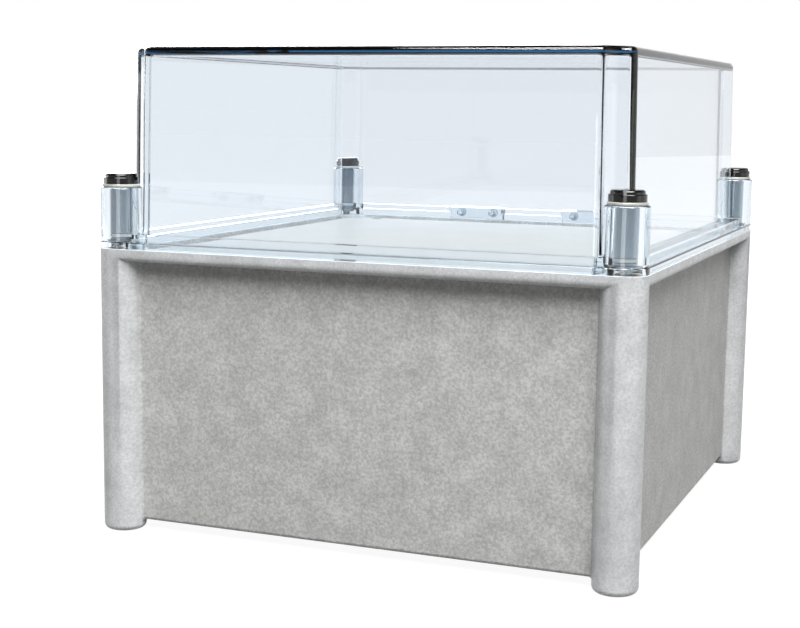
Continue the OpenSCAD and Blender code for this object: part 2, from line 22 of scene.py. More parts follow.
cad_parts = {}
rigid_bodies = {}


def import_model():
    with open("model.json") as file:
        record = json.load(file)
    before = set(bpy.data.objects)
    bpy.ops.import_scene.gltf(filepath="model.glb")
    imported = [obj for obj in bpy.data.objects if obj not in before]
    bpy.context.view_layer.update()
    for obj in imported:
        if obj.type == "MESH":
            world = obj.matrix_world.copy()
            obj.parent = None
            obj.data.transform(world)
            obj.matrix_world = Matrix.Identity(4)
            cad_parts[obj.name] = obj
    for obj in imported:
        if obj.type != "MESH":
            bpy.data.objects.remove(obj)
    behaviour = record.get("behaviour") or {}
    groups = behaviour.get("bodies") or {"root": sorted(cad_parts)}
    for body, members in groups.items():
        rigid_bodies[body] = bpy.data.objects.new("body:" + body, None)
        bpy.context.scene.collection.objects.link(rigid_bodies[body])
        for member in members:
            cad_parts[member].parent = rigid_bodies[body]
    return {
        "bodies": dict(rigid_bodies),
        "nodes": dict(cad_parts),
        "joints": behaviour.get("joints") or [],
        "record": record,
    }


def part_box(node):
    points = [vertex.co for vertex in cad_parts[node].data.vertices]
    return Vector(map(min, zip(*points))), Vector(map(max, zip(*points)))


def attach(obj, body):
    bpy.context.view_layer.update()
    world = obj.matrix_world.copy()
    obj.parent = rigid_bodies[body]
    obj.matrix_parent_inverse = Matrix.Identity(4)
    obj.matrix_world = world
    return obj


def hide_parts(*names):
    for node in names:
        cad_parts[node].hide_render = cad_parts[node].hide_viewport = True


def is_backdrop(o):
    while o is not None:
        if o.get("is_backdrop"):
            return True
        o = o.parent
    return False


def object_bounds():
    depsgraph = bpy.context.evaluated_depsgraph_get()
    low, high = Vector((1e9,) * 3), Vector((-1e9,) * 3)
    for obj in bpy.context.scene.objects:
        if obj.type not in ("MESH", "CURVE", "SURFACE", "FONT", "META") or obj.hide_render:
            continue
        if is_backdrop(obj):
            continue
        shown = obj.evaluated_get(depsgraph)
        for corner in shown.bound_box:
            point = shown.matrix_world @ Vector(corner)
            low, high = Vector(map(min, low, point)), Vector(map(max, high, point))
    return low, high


LOG = logging.getLogger("enclosure")
MM = 0.001
CORNERS = ("front_left", "front_right", "rear_left", "rear_right")

# An edge between two moulded faces stays sharp past this angle.
CREASE_DEG = 32.0
# Points of a solid closer than the first are one point, and edges shorter than the second are dropped.
MERGE = 2e-6
SHORTEST_EDGE = 1e-7
# Two faces lie in one plane when their normals agree to 1/400 and their distances from the origin to 0.05 mm.
NORMAL_STEPS = 400
PLANE_STEPS = 2e4
# Twice the area below which a triangle is a sliver with no say in the shading.
SLIVER = 1e-13

# The loaded frame and the materials made so far, both filled while the script runs.
_frame: dict[str, Any] = {}
_made: dict[str, bpy.types.Material] = {}


# ---------------------------------------------------------------- colour and nodes


def linear(code: str) -> tuple[float, float, float, float]:
    """Turn an sRGB hex colour into Blender's linear values.

    Args:
        code: Six hex digits, such as "c5c6c3".

    Returns:
        Linear red, green, blue and an alpha of one.
    """
    parts = [int(code[i : i + 2], 16) / 255 for i in (0, 2, 4)]
    r, g, b = (p / 12.92 if p <= 0.04045 else ((p + 0.055) / 1.055) ** 2.4 for p in parts)
    return r, g, b, 1.0


def add_node(
    tree: bpy.types.NodeTree, kind: str, settings: dict[str, Any] | None = None, **inputs: Any
) -> bpy.types.Node:
    """Add one shader node with its settings, values and links.

    Args:
        tree: Node tree that takes the node.
        kind: Blender's type name of the node.
        settings: Attributes to set on the node itself.
        **inputs: Input values by name, with underscores for spaces, or by place as i0, i1 and so on. A socket
            is linked, anything else is set.

    Returns:
        The new node.
    """
    node = tree.nodes.new(kind)
    for name, value in (settings or {}).items():
        setattr(node, name, value)
    for name, value in inputs.items():
        index = int(name[1:]) if name[0] == "i" and name[1:].isdigit() else name.replace("_", " ")
        socket = node.inputs[index]
        if isinstance(value, bpy.types.NodeSocket):
            tree.links.new(value, socket)
        else:
            socket.default_value = value
    return node


def new_material(name: str) -> tuple[bpy.types.Material, bpy.types.NodeTree, bpy.types.NodeSocket]:
    """Start an empty node material.

    Args:
        name: Name of the real material and its finish.

    Returns:
        The material, its node tree and the output's surface socket.
    """
    material = bpy.data.materials.new(name)
    material.use_nodes = True
    tree = material.node_tree
    tree.nodes.clear()
    output = add_node(tree, "ShaderNodeOutputMaterial")
    return material, tree, output.inputs["Surface"]


def object_point(tree: bpy.types.NodeTree) -> bpy.types.NodeSocket:
    """Give the object's own coordinates, in metres."""
    return add_node(tree, "ShaderNodeTexCoord").outputs["Object"]


# ---------------------------------------------------------------- finishes


class Finish(Protocol):
    """Anything that can make a material."""

    def build(self) -> bpy.types.Material:
        """Make the material."""


@dataclass(frozen=True)
class GrainedPolycarbonate:
    """Light grey polycarbonate, moulded in a spark-eroded tool.

    The panels carry the tool's coarse matt grain. The posts and the rim, which stand out past them, come
    from a finer finished part of the tool, so they take a soft shine. Their paler colour is a painted
    highlight:
    it stands in for the extra light that the posts and rim catch, which makes them lighter than the recessed
    panels. The real grain is a few tenths of a millimetre wide. It is drawn coarser, so that it shows, and a
    little longer along Y, where the side walls are seen at a flat angle. The slow clouding is the flow of the
    melt across the panels.
    """

    panel_tone: str = "cececb"
    panel_dark: str = "aeaeac"
    # The two rim tones are painted highlight: the same grey as the panels, lightened to stand in for the light
    # that the posts and rim catch.
    rim_painted_highlight_tone: str = "dcdedf"
    rim_painted_highlight_dark: str = "c8cacb"
    grain_mm: float = 1.3
    grain_squeeze: float = 0.45
    grain_range: tuple[float, float] = (0.38, 0.62)
    cloud_mm: float = 14.0
    cloud_range: tuple[float, float] = (0.84, 1.16)
    panel_roughness: float = 0.52
    rim_roughness: float = 0.34
    panel_bump: float = 0.55
    rim_bump: float = 0.25
    bump_mm: float = 0.25
    recess_mm: float = 10.0
    mask_edge_mm: tuple[float, float] = (0.1, 0.9)
    ior: float = 1.55

    def outside_panels(self, tree: bpy.types.NodeTree, point: bpy.types.NodeSocket) -> bpy.types.NodeSocket:
        """Give 1 on the posts and the rim, which lie outside the planes of the walls, and 0 on the walls.

        Args:
            tree: Node tree that takes the nodes.
            point: Position on the object.

        Returns:
            The socket with the mask.
        """
        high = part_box("enclosure_base")[1]
        axes = add_node(tree, "ShaderNodeSeparateXYZ", Vector=point)
        past = []
        for axis, reach in (("X", high[0]), ("Y", high[1])):
            wall = reach - self.recess_mm * MM
            size = add_node(tree, "ShaderNodeMath", {"operation": "ABSOLUTE"}, i0=axes.outputs[axis])
            gap = add_node(tree, "ShaderNodeMath", {"operation": "SUBTRACT"}, i0=size.outputs[0], i1=wall)
            past.append(gap.outputs[0])
        most = add_node(tree, "ShaderNodeMath", {"operation": "MAXIMUM"}, i0=past[0], i1=past[1])
        start, end = self.mask_edge_mm
        mask = add_node(
            tree, "ShaderNodeMapRange", Value=most.outputs[0], From_Min=start * MM, From_Max=end * MM
        )
        return mask.outputs["Result"]

    def colour(
        self,
        tree: bpy.types.NodeTree,
        point: bpy.types.NodeSocket,
        rim: bpy.types.NodeSocket,
        grain: bpy.types.NodeSocket,
    ) -> bpy.types.NodeSocket:
        """Mix the dark and the pale tone by the grain, and let the clouds lighten and darken the result.

        Args:
            tree: Node tree that takes the nodes.
            point: Position on the object.
            rim: Mask of the posts and the rim.
            grain: Grain, as noise from 0 to 1.

        Returns:
            The socket with the colour.
        """
        low, high = self.grain_range
        speck = add_node(tree, "ShaderNodeMapRange", Value=grain, From_Min=low, From_Max=high)
        # Where the mask is 1, the rim tones paint a highlight onto the posts and rim.
        dark = add_node(
            tree,
            "ShaderNodeMix",
            {"data_type": "RGBA"},
            i0=rim,
            i6=linear(self.panel_dark),
            i7=linear(self.rim_painted_highlight_dark),
        )
        tone = add_node(
            tree,
            "ShaderNodeMix",
            {"data_type": "RGBA"},
            i0=rim,
            i6=linear(self.panel_tone),
            i7=linear(self.rim_painted_highlight_tone),
        )
        tint = add_node(
            tree,
            "ShaderNodeMix",
            {"data_type": "RGBA"},
            i0=speck.outputs["Result"],
            i6=dark.outputs[2],
            i7=tone.outputs[2],
        )
        cloud = add_node(
            tree,
            "ShaderNodeTexNoise",
            Vector=point,
            Scale=1 / (self.cloud_mm * MM),
            Detail=3.0,
            Roughness=0.6,
        )
        drift = add_node(
            tree,
            "ShaderNodeMapRange",
            Value=cloud.outputs["Fac"],
            From_Min=0.25,
            From_Max=0.75,
            To_Min=self.cloud_range[0],
            To_Max=self.cloud_range[1],
        )
        clouded = add_node(
            tree, "ShaderNodeHueSaturation", Value=drift.outputs["Result"], Color=tint.outputs[2]
        )
        return clouded.outputs["Color"]

    def build(self) -> bpy.types.Material:
        """Make the material: grain and clouding in the colour and bump, both softer on the posts and rim."""
        material, tree, surface = new_material("grained_polycarbonate")
        point = object_point(tree)
        rim = self.outside_panels(tree, point)
        drawn = add_node(tree, "ShaderNodeMapping", Vector=point, Scale=(1.0, self.grain_squeeze, 1.0))
        grain = add_node(
            tree,
            "ShaderNodeTexNoise",
            Vector=drawn.outputs["Vector"],
            Scale=1 / (self.grain_mm * MM),
            Detail=3.0,
            Roughness=0.7,
        )
        gloss = add_node(tree, "ShaderNodeMix", i0=rim, i2=self.panel_roughness, i3=self.rim_roughness)
        depth = add_node(tree, "ShaderNodeMix", i0=rim, i2=self.panel_bump, i3=self.rim_bump)
        bump = add_node(
            tree,
            "ShaderNodeBump",
            Height=grain.outputs["Fac"],
            Strength=depth.outputs[0],
            Distance=self.bump_mm * MM,
        )
        shader = add_node(
            tree,
            "ShaderNodeBsdfPrincipled",
            Base_Color=self.colour(tree, point, rim, grain.outputs["Fac"]),
            Roughness=gloss.outputs[0],
            IOR=self.ior,
            Normal=bump.outputs["Normal"],
        )
        tree.links.new(shader.outputs[0], surface)
        return material


@dataclass(frozen=True)
class ClearPolycarbonate:
    """Clear polycarbonate from a polished tool, with the blue-grey that light takes on along thick sections.

    The moulded sheet is never quite flat, so a very shallow wave bends what is mirrored in it.
    """

    tone: str = "f8fafd"
    depth_tone: str = "8fc1d7"
    absorption: float = 17.0
    ior: float = 1.585
    wave_mm: float = 60.0
    wave_bump: float = 0.05
    wave_depth_mm: float = 0.4

    def build(self) -> bpy.types.Material:
        """Make the material: a clear dielectric that colours light with depth and lets the lamps through."""
        material, tree, surface = new_material("clear_polycarbonate")
        wave = add_node(
            tree, "ShaderNodeTexNoise", Vector=object_point(tree), Scale=1 / (self.wave_mm * MM), Detail=1.0
        )
        bump = add_node(
            tree,
            "ShaderNodeBump",
            Height=wave.outputs["Fac"],
            Strength=self.wave_bump,
            Distance=self.wave_depth_mm * MM,
        )
        shader = add_node(
            tree,
            "ShaderNodeBsdfPrincipled",
            Base_Color=linear(self.tone),
            Roughness=0.0,
            IOR=self.ior,
            Transmission_Weight=1.0,
            Normal=bump.outputs["Normal"],
        )
        lit = add_node(tree, "ShaderNodeBsdfTransparent", Color=linear(self.tone))
        path = add_node(tree, "ShaderNodeLightPath")
        both = add_node(
            tree,
            "ShaderNodeMixShader",
            i0=path.outputs["Is Shadow Ray"],
            i1=shader.outputs[0],
            i2=lit.outputs[0],
        )
        tree.links.new(both.outputs[0], surface)
        depth = add_node(
            tree, "ShaderNodeVolumeAbsorption", Color=linear(self.depth_tone), Density=self.absorption
        )
        tree.links.new(depth.outputs[0], surface.node.inputs["Volume"])
        return material


@dataclass(frozen=True)
class MouldedNylon:
    """Plain moulded nylon: even colour, a soft or a polished surface, and shallow moulding marks."""

    name: str
    tone: str
    roughness: float
    mark_mm: float = 3.0
    mark_bump: float = 0.12
    mark_depth_mm: float = 0.1
    gloss_range: tuple[float, float] = (0.8, 1.25)
    ior: float = 1.53

    def build(self) -> bpy.types.Material:
        """Make the material: one tone whose gloss varies a little."""
        material, tree, surface = new_material(self.name)
        marks = add_node(
            tree, "ShaderNodeTexNoise", Vector=object_point(tree), Scale=1 / (self.mark_mm * MM), Detail=3.0
        )
        gloss = add_node(
            tree,
            "ShaderNodeMapRange",
            Value=marks.outputs["Fac"],
            To_Min=self.roughness * self.gloss_range[0],
            To_Max=self.roughness * self.gloss_range[1],
        )
        bump = add_node(
            tree,
            "ShaderNodeBump",
            Height=marks.outputs["Fac"],
            Strength=self.mark_bump,
            Distance=self.mark_depth_mm * MM,
        )
        shader = add_node(
            tree,
            "ShaderNodeBsdfPrincipled",
            Base_Color=linear(self.tone),
            Roughness=gloss.outputs["Result"],
            IOR=self.ior,
            Normal=bump.outputs["Normal"],
        )
        tree.links.new(shader.outputs[0], surface)
        return material


@dataclass(frozen=True)
class TurnedMetal:
    """Bright turned metal: fine rings from the lathe break up the highlight along the axis.

    A lathe leaves rings about a tenth of a millimetre apart. They are drawn wider, so that they show.
    """

    name: str
    tone: str
    roughness: float
    ring_mm: float = 0.35
    stretch: float = 0.05
    gloss_range: tuple[float, float] = (0.7, 1.3)

    def build(self) -> bpy.types.Material:
        """Make the material: a metal with bands of roughness across its axis."""
        material, tree, surface = new_material(self.name)
        stretched = add_node(
            tree, "ShaderNodeMapping", Vector=object_point(tree), Scale=(self.stretch, self.stretch, 1.0)
        )
        rings = add_node(
            tree,
            "ShaderNodeTexNoise",
            Vector=stretched.outputs["Vector"],
            Scale=1 / (self.ring_mm * MM),
            Detail=1.0,
        )
        gloss = add_node(
            tree,
            "ShaderNodeMapRange",
            Value=rings.outputs["Fac"],
            To_Min=self.roughness * self.gloss_range[0],
            To_Max=self.roughness * self.gloss_range[1],
        )
        shader = add_node(
            tree,
            "ShaderNodeBsdfPrincipled",
            Base_Color=linear(self.tone),
            Metallic=1.0,
            Roughness=gloss.outputs["Result"],
        )
        tree.links.new(shader.outputs[0], surface)
        return material


@dataclass(frozen=True)
class PaintedSheet:
    """Powder-coated light grey sheet steel: an even satin with the faint orange peel of the baked powder."""

    tone: str = "b0afa9"
    peel_mm: float = 1.6
    peel_bump: float = 0.2
    peel_depth_mm: float = 0.05
    drift_mm: float = 30.0
    roughness: float = 0.42
    gloss_range: tuple[float, float] = (0.85, 1.15)
    ior: float = 1.5

    def build(self) -> bpy.types.Material:
        """Make the material: paint with orange peel in the bump and a slow drift of gloss."""
        material, tree, surface = new_material("powder_coated_steel")
        point = object_point(tree)
        peel = add_node(tree, "ShaderNodeTexNoise", Vector=point, Scale=1 / (self.peel_mm * MM), Detail=1.0)
        drift = add_node(tree, "ShaderNodeTexNoise", Vector=point, Scale=1 / (self.drift_mm * MM), Detail=2.0)
        gloss = add_node(
            tree,
            "ShaderNodeMapRange",
            Value=drift.outputs["Fac"],
            To_Min=self.roughness * self.gloss_range[0],
            To_Max=self.roughness * self.gloss_range[1],
        )
        bump = add_node(
            tree,
            "ShaderNodeBump",
            Height=peel.outputs["Fac"],
            Strength=self.peel_bump,
            Distance=self.peel_depth_mm * MM,
        )
        shader = add_node(
            tree,
            "ShaderNodeBsdfPrincipled",
            Base_Color=linear(self.tone),
            Roughness=gloss.outputs["Result"],
            IOR=self.ior,
            Normal=bump.outputs["Normal"],
        )
        tree.links.new(shader.outputs[0], surface)
        return material


@dataclass(frozen=True)
class FoamedSeal:
    """Foamed polyurethane: soft, matt and closed, with bubbles under a millimetre across."""

    tone: str = "a9aaa6"
    bubble_mm: float = 0.8
    bubble_bump: float = 0.5
    bubble_depth_mm: float = 0.15
    roughness: float = 0.85

    def build(self) -> bpy.types.Material:
        """Make the material: matt foam with small bubbles in the bump."""
        material, tree, surface = new_material("foamed_polyurethane")
        bubbles = add_node(
            tree, "ShaderNodeTexVoronoi", Vector=object_point(tree), Scale=1 / (self.bubble_mm * MM)
        )
        bump = add_node(
            tree,
            "ShaderNodeBump",
            Height=bubbles.outputs["Distance"],
            Strength=self.bubble_bump,
            Distance=self.bubble_depth_mm * MM,
        )
        shader = add_node(
            tree,
            "ShaderNodeBsdfPrincipled",
            Base_Color=linear(self.tone),
            Roughness=self.roughness,
            Normal=bump.outputs["Normal"],
        )
        tree.links.new(shader.outputs[0], surface)
        return material


class Slot(Enum):
    """Material slots of the record, each with the finish that it takes."""

    BASE = ("grey_polycarbonate", GrainedPolycarbonate())
    COVER = ("clear_polycarbonate", ClearPolycarbonate())
    HEAD = ("head_black", MouldedNylon("polished_black_nylon", "0c0c0b", 0.1))
    WASHER = ("washer_nylon", MouldedNylon("natural_nylon", "c4c2b9", 0.35))
    SEAL = ("foamed_seal", FoamedSeal())
    STEEL = ("screw_steel", TurnedMetal("turned_stainless_steel", "a5b2b9", 0.2))
    BRASS = ("insert_brass", TurnedMetal("turned_brass", "c9a45c", 0.3))
    PLATE = ("painted_plate", PaintedSheet())

    def __init__(self, record_name: str, finish: Finish) -> None:
        """Keep the record's name and the finish."""
        self.record_name = record_name
        self.finish = finish

    def material(self) -> bpy.types.Material:
        """Give the slot's material, made when it is first asked for."""
        if self.record_name not in _made:
            _made[self.record_name] = self.finish.build()
        return _made[self.record_name]


# ---------------------------------------------------------------- meshes


def plane_areas(normal: np.ndarray, offset: np.ndarray, area: np.ndarray) -> np.ndarray:
    """Add up, for each face, the area of all faces in its plane.

    Args:
        normal: Unit normals of the faces, of shape (faces, 3).
        offset: Distance of each face's plane from the origin.
        area: Area of each face.

    Returns:
        The summed area for each face.
    """
    key = np.column_stack([np.round(normal * NORMAL_STEPS), np.round(offset * PLANE_STEPS)]).astype(np.int64)
    _, plane = np.unique(key, axis=0, return_inverse=True)
    plane = plane.ravel()
    return np.bincount(plane, area)[plane]


def corner_pairs(corner: np.ndarray) -> tuple[np.ndarray, np.ndarray]:
    """Pair every face corner with each corner that meets it in the same vertex, itself included.

    The corners are sorted by vertex, which makes one run for each vertex. Each corner of a run of n is then
    repeated n times, against the n corners of the run in turn.

    Args:
        corner: Vertex of each face corner.

    Returns:
        Two arrays of corners of equal length.
    """
    order = np.argsort(corner, kind="stable")
    _, first, size = np.unique(corner[order], return_index=True, return_counts=True)
    repeat = np.repeat(size, size)
    step = np.arange(repeat.sum()) - np.repeat(np.cumsum(repeat) - repeat, repeat)
    start = np.repeat(np.repeat(first, size), repeat)
    return np.repeat(order, repeat), order[start + step]


def shading_normals(mesh: bpy.types.Mesh, crease_deg: float) -> None:
    """Shade a triangle mesh like a moulding: panels stay flat and the roundings between them turn smoothly.

    At each corner the normals of the faces round its vertex are added up, weighted by the whole area that
    lies in each face's plane, leaving out faces turned away by more than the crease angle. A big panel so
    outweighs the narrow strips of its rounded edge, and keeps its own normal up to where the rounding starts.

    Args:
        mesh: Triangle mesh with merged vertices.
        crease_deg: Angle in degrees past which an edge stays sharp.
    """
    count = len(mesh.polygons)
    corner = np.empty(count * 3, np.int64)
    mesh.loops.foreach_get("vertex_index", corner)
    points = np.empty(len(mesh.vertices) * 3)
    mesh.vertices.foreach_get("co", points)
    a, b, c = (points.reshape(-1, 3)[corner.reshape(-1, 3)[:, k]] for k in range(3))
    cross = np.cross(b - a, c - a)
    double_area = np.linalg.norm(cross, axis=1)
    normal = cross / np.maximum(double_area, 1e-15)[:, None]
    weight = plane_areas(normal, np.einsum("ij,ij->i", normal, a), double_area)
    weight[double_area < SLIVER] = 0.0

    here, there = corner_pairs(corner)
    turn = np.einsum("ij,ij->i", normal[here // 3], normal[there // 3])
    near = turn > math.cos(math.radians(crease_deg))
    here, face = here[near], there[near] // 3
    total = np.stack([np.bincount(here, weight[face] * normal[face, k], count * 3) for k in range(3)], 1)
    length = np.linalg.norm(total, axis=1)[:, None]
    total = np.where(length > 1e-12, total / np.maximum(length, 1e-12), np.repeat(normal, 3, 0))
    mesh.polygons.foreach_set("use_smooth", np.ones(count, bool))
    mesh.normals_split_custom_set(total.tolist())
    mesh.update()


def grid_object(name: str, points: np.ndarray, wrapped: bool, smooth: bool = True) -> bpy.types.Object:
    """Make an object from a grid of points, whose faces point the way of (step along u) x (step along v).

    Args:
        name: Name of the object.
        points: Array of shape (u, v, 3).
        wrapped: Whether the last row joins the first, and the last column the first.
        smooth: Whether the faces shade smoothly.

    Returns:
        The new object, linked to the scene.
    """
    nu, nv = points.shape[:2]
    open_end = 0 if wrapped else 1
    u, v = np.meshgrid(np.arange(nu - open_end), np.arange(nv - open_end), indexing="ij")
    next_u, next_v = (u + 1) % nu, (v + 1) % nv
    quads = np.stack([u * nv + v, next_u * nv + v, next_u * nv + next_v, u * nv + next_v], -1).reshape(-1, 4)
    mesh = bpy.data.meshes.new(name)
    mesh.vertices.add(nu * nv)
    mesh.vertices.foreach_set("co", points.reshape(-1).astype(np.float32))
    mesh.loops.add(quads.size)
    mesh.loops.foreach_set("vertex_index", quads.reshape(-1).astype(np.int32))
    mesh.polygons.add(len(quads))
    mesh.polygons.foreach_set("loop_start", np.arange(0, quads.size, 4, dtype=np.int32))
    mesh.polygons.foreach_set("use_smooth", np.full(len(quads), smooth))
    mesh.update(calc_edges=True)
    mesh.validate()
    return placed(name, mesh)


def placed(name: str, mesh: bpy.types.Mesh) -> bpy.types.Object:
    """Make an object of a mesh and link it to the scene."""
    piece = bpy.data.objects.new(name, mesh)
    bpy.context.scene.collection.objects.link(piece)
    return piece


def rounded_ring(
    inner: float, outer: float, low: float, high: float, edge: float, steps: int = 6
) -> np.ndarray:
    """Draw the section of a flat ring with round edges, as (radius, height), running round it once.

    Each corner is a quarter circle: its centre lies one edge radius inside both sides, and the angle a runs
    through a quarter turn in (centre + edge * cos a, centre + edge * sin a).

    Args:
        inner: Radius of the hole.
        outer: Outer radius.
        low: Height of the underside.
        high: Height of the upper side.
        edge: Radius round the edges.
        steps: Steps in a quarter circle.

    Returns:
        Array of shape (points, 2).
    """
    quarter = np.linspace(0.0, np.pi / 2, steps)
    right, left, top, bottom = outer - edge, inner + edge, high - edge, low + edge
    centres = ((right, top), (left, top), (left, bottom), (right, bottom))
    turns = [quarter + k * np.pi / 2 for k in range(len(centres))]
    return np.concatenate(
        [np.stack([r + edge * np.cos(a), z + edge * np.sin(a)], -1) for (r, z), a in zip(centres, turns)]
    )


def lathe(name: str, section: np.ndarray, centre: tuple[float, float], steps: int = 72) -> bpy.types.Object:
    """Turn a closed section about an upright axis.

    Point (i, j) lies at the radius r and height z of section point i, at the angle b of step j:
    (x + r * cos b, y + r * sin b, z). The angle runs clockwise, so that the faces point outwards.

    Args:
        name: Name of the object.
        section: Closed outline as (radius, height), running anticlockwise with the radius to the right.
        centre: X and Y of the axis.
        steps: Steps round the axis.

    Returns:
        A closed ring-shaped object.
    """
    angle = -np.linspace(0.0, 2 * np.pi, steps, endpoint=False)
    x = centre[0] + section[:, :1] * np.cos(angle)
    y = centre[1] + section[:, :1] * np.sin(angle)
    z = np.repeat(section[:, 1:], steps, 1)
    return grid_object(name, np.stack([x, y, z], -1), wrapped=True)


def joined(name: str, pieces: Sequence[bpy.types.Object]) -> bpy.types.Object:
    """Join separate rings of one part into one object.

    Args:
        name: Name of the new object.
        pieces: Closed rings, which are removed.

    Returns:
        The new object, linked to the scene.
    """
    work = bmesh.new()
    for piece in pieces:
        work.from_mesh(piece.data)
        bpy.data.objects.remove(piece)
    mesh = bpy.data.meshes.new(name)
    work.to_mesh(mesh)
    work.free()
    return placed(name, mesh)


def copied(node: str, name: str, crease_deg: float = CREASE_DEG) -> bpy.types.Object:
    """Copy a solid, merge its loose triangles and shade it as a moulding.

    Args:
        node: Name of the solid's node.
        name: Name of the new object.
        crease_deg: Angle in degrees past which an edge stays sharp.

    Returns:
        The copy, linked to the scene.
    """
    work = bmesh.new()
    work.from_mesh(_frame["nodes"][node].data)
    bmesh.ops.remove_doubles(work, verts=work.verts, dist=MERGE)
    bmesh.ops.dissolve_degenerate(work, edges=work.edges, dist=SHORTEST_EDGE)
    bmesh.ops.triangulate(work, faces=work.faces)
    mesh = bpy.data.meshes.new(name)
    work.to_mesh(mesh)
    work.free()
    shading_normals(mesh, crease_deg)
    return placed(name, mesh)


def dress(piece: bpy.types.Object, slot: Slot, body: str, node: str) -> None:
    """Give a piece its material and its body, and hide the solid that it stands for.

    Args:
        piece: Finished object.
        slot: Record slot of its finish.
        body: Body that it rides on.
        node: Solid that it replaces.
    """
    piece.data.materials.clear()
    piece.data.materials.append(slot.material())
    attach(piece, body)
    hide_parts(node)
    LOG.info("%s: %d faces on %s", piece.name, len(piece.data.polygons), body)


# ---------------------------------------------------------------- sub-assemblies


@dataclass
class Housing:
    """Base, seal, mounting plate and inserts, which all stay with the wall."""

    fixed: tuple[tuple[str, Slot], ...] = (
        ("cover_gasket", Slot.SEAL),
        ("mounting_plate", Slot.PLATE),
        ("post_inserts", Slot.BRASS),
        ("plate_inserts", Slot.BRASS),
        ("plate_screws", Slot.STEEL),
    )

    def build(self) -> None:
        """Dress the base and what is fixed in it."""
        dress(copied("enclosure_base", "base_moulding"), Slot.BASE, "base", "enclosure_base")
        for node, slot in self.fixed:
            dress(copied(node, node + "_dressed"), slot, "base", node)


@dataclass
class Cover:
    """Clear hood with its flange and towers, and the small parts that stay in it."""

    washer_hole_r: float = 5.85 * MM
    washer_edge: float = 0.45 * MM
    retainer_hole_r: float = 4.72 * MM
    retainer_edge: float = 0.25 * MM

    def rings(self, node: str, name: str, hole_r: float, edge: float) -> bpy.types.Object:
        """Turn the four rings of one part, each on the axis of its screw.

        Args:
            node: Solid that holds the four rings.
            name: Name of the new object.
            hole_r: Radius of a ring's hole.
            edge: Radius round a ring's edges.

        Returns:
            One object with four closed rings.
        """
        low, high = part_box(node)
        made = []
        for corner in CORNERS:
            screw_low, screw_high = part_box("cover_screw_" + corner)
            axis = ((screw_low[0] + screw_high[0]) / 2, (screw_low[1] + screw_high[1]) / 2)
            outer = high[0] - abs(axis[0])
            made.append(lathe(name + corner, rounded_ring(hole_r, outer, low[2], high[2], edge), axis))
        return joined(name, made)

    def build(self) -> None:
        """Dress the clear cover, the washers and the retaining rings."""
        dress(copied("clear_cover", "cover_moulding"), Slot.COVER, "cover", "clear_cover")
        for node, slot, hole_r, edge in (
            ("head_washers", Slot.WASHER, self.washer_hole_r, self.washer_edge),
            ("screw_retainers", Slot.STEEL, self.retainer_hole_r, self.retainer_edge),
        ):
            dress(self.rings(node, node + "_turned", hole_r, edge), slot, "cover", node)


@dataclass
class TurnScrew:
    """One captive quarter-turn screw with its head and ring seal."""

    corner: str
    wire_steps: int = 24

    def ring_seal(self) -> bpy.types.Object:
        """Turn the ring seal: a round wire, bent into a ring about the screw's axis."""
        node = "screw_seal_" + self.corner
        low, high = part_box(node)
        wire = (high[2] - low[2]) / 2
        outer = (high[0] - low[0]) / 2
        turn = np.linspace(0.0, 2 * np.pi, self.wire_steps, endpoint=False)
        section = np.stack([outer - wire + wire * np.cos(turn), low[2] + wire + wire * np.sin(turn)], -1)
        return lathe(node + "_turned", section, ((low[0] + high[0]) / 2, (low[1] + high[1]) / 2))

    def build(self) -> None:
        """Dress the shank, the head and the seal of one screw."""
        body = "screw_" + self.corner
        for part, slot in (("cover_screw_", Slot.STEEL), ("screw_head_", Slot.HEAD)):
            node = part + self.corner
            dress(copied(node, node + "_dressed"), slot, body, node)
        dress(self.ring_seal(), Slot.SEAL, body, "screw_seal_" + self.corner)


@dataclass
class Hinge:
    """One rear hinge: a base leaf, a cover leaf and a pin."""

    side: str

    def build(self) -> None:
        """Dress the leaves and the pin."""
        for part, slot, body in (
            ("hinge_base_leaf_", Slot.BASE, "base"),
            ("hinge_cover_leaf_", Slot.COVER, "cover"),
            ("hinge_pin_", Slot.STEEL, "base"),
        ):
            node = part + self.side
            dress(copied(node, node + "_dressed"), slot, body, node)


@dataclass
class HingeFixings:
    """Screws of both hinges: steel in the base, and pale nylon in the clear cover."""

    def build(self) -> None:
        """Dress the screws."""
        for node, slot, body in (
            ("hinge_base_screws", Slot.STEEL, "base"),
            ("hinge_cover_screws", Slot.WASHER, "cover"),
        ):
            dress(copied(node, node + "_dressed"), slot, body, node)


# ---------------------------------------------------------------- studio


@dataclass(frozen=True)
class Softbox:
    """A rectangular soft lamp that looks at one point of the object.

    A lamp can't be seen directly or through the cover. One with only_in_gloss is a reflector card: it shows
    in surfaces that mirror it and lights nothing else.
    """

    name: str
    azimuth_deg: float
    elevation_deg: float
    distance: float
    size: tuple[float, float]
    watts: float
    only_in_gloss: bool = False

    def build(self, target: Vector) -> None:
        """Place the lamp round the target. Azimuth runs from the opening side towards the right.

        Args:
            target: Point that the lamp looks at.
        """
        azimuth, elevation = math.radians(self.azimuth_deg), math.radians(self.elevation_deg)
        level = math.cos(elevation)
        away = Vector((math.sin(azimuth) * level, -math.cos(azimuth) * level, math.sin(elevation)))
        lamp = bpy.data.lights.new(self.name, "AREA")
        lamp.shape = "RECTANGLE"
        lamp.size, lamp.size_y = self.size
        lamp.energy = self.watts
        turn = away.to_track_quat("Z", "Y").to_matrix().to_4x4()
        holder = bpy.data.objects.new(self.name, lamp)
        holder.matrix_world = Matrix.Translation(target + away * self.distance) @ turn
        holder.visible_transmission = False
        holder.visible_camera = False
        holder.visible_diffuse = not self.only_in_gloss
        bpy.context.scene.collection.objects.link(holder)


